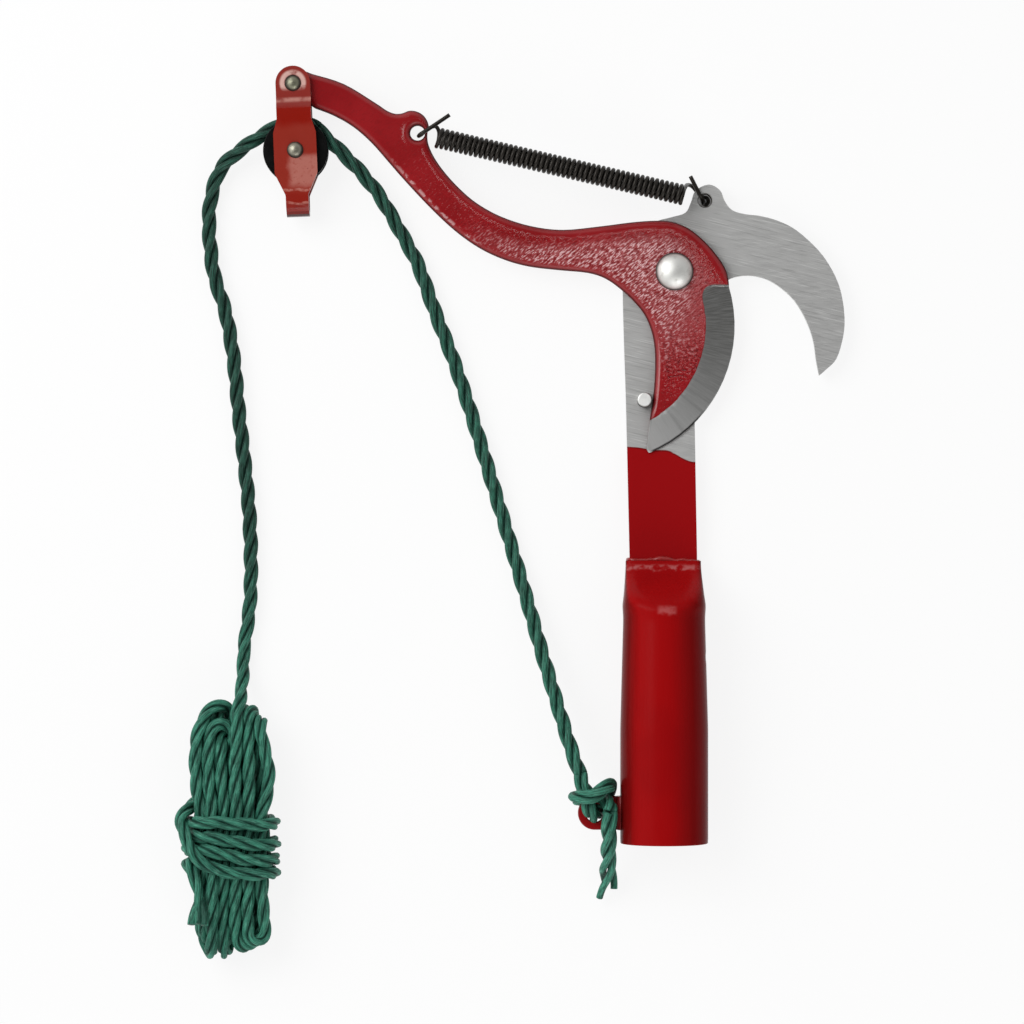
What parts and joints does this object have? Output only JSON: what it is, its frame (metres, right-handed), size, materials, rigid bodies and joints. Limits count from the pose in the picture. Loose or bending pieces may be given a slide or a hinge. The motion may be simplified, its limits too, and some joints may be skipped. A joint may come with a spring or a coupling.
{
  "type": "tree pruner head",
  "caption": "Pole pruner head with a fixed hook, a sprung cutting lever worked by a rope over a pulley block, and a round socket for a pole.",
  "frame": {"origin": "centre of the socket's mouth, on the axis of its bore", "axes": "+Y along the socket towards the hook, +X towards the hook's point, +Z out of the front face; it lies on its back"},
  "size_m": [0.2457, 0.3299, 0.0324],
  "materials": {
    "red_enamel": "glossy",
    "bare_steel": "brushed",
    "rivet_steel": "satin",
    "dark_rivet": "satin",
    "spring_wire": "satin",
    "black_plastic": "matte",
    "bush_brass": "satin",
    "rope": "fibrous"
  },
  "bodies": {
    "frame": {"hook_plate": "bare_steel", "socket": "red_enamel", "socket_weld": "red_enamel", "rope_lug": "red_enamel", "lug_weld": "red_enamel", "pivot_rivet": "rivet_steel", "pivot_washer": "rivet_steel", "stop_pin": "rivet_steel", "rope_knot": "rope", "rope_tail": "rope", "rope_standing_line": "rope"},
    "lever": {"cutting_lever": "red_enamel"},
    "spring": {"return_spring": "spring_wire"},
    "spring_end": {"spring_hook": "spring_wire"},
    "pulley_block": {"pulley_strap": "red_enamel", "block_rivet": "dark_rivet", "pulley_axle": "dark_rivet", "rope_over_pulley": "rope", "rope_free_line": "rope", "rope_hank": "rope", "hank_wrap": "rope"},
    "pulley": {"pulley_wheel": "black_plastic", "wheel_bush": "bush_brass"}
  },
  "joints": [
    {"name": "lever_close", "type": "hinge", "parent": "frame", "child": "lever", "pos_m": [0.004, 0.211, -0.0079], "axis": [0, 0, 1], "range_deg": [0, 64], "stiffness_Nm_per_rad": 0.31, "springref_deg": -51.57, "deforming": ["rope_standing_line"]},
    {"name": "block_swing", "type": "hinge", "parent": "lever", "child": "pulley_block", "pos_m": [-0.137, 0.2805, -0.0079], "axis": [0, 0, 1], "range_deg": [-64, 0]},
    {"name": "pulley_spin", "type": "hinge", "parent": "pulley_block", "child": "pulley", "pos_m": [-0.136, 0.25562, -0.0079], "axis": [0, 0, 1], "continuous": true},
    {"name": "spring_swing", "type": "hinge", "parent": "frame", "child": "spring", "pos_m": [0.0154, 0.2375, -0.0079], "axis": [0, 0, 1], "range_deg": [0, 55.2], "deforming": ["return_spring"]},
    {"name": "spring_stretch", "type": "slide", "parent": "spring", "child": "spring_end", "axis": [-0.9739, 0.227, 0], "range_m": [0, 0.0243], "deforming": ["spring_hook"]}
  ],
  "couplings": [
    {"joint": "block_swing", "follows": "lever_close", "ratio": -1},
    {"joint": "spring_swing", "follows": "lever_close", "ratio": 0.8618},
    {"joint": "spring_stretch", "follows": "lever_close", "m_per_rad": 0.02171}
  ]
}
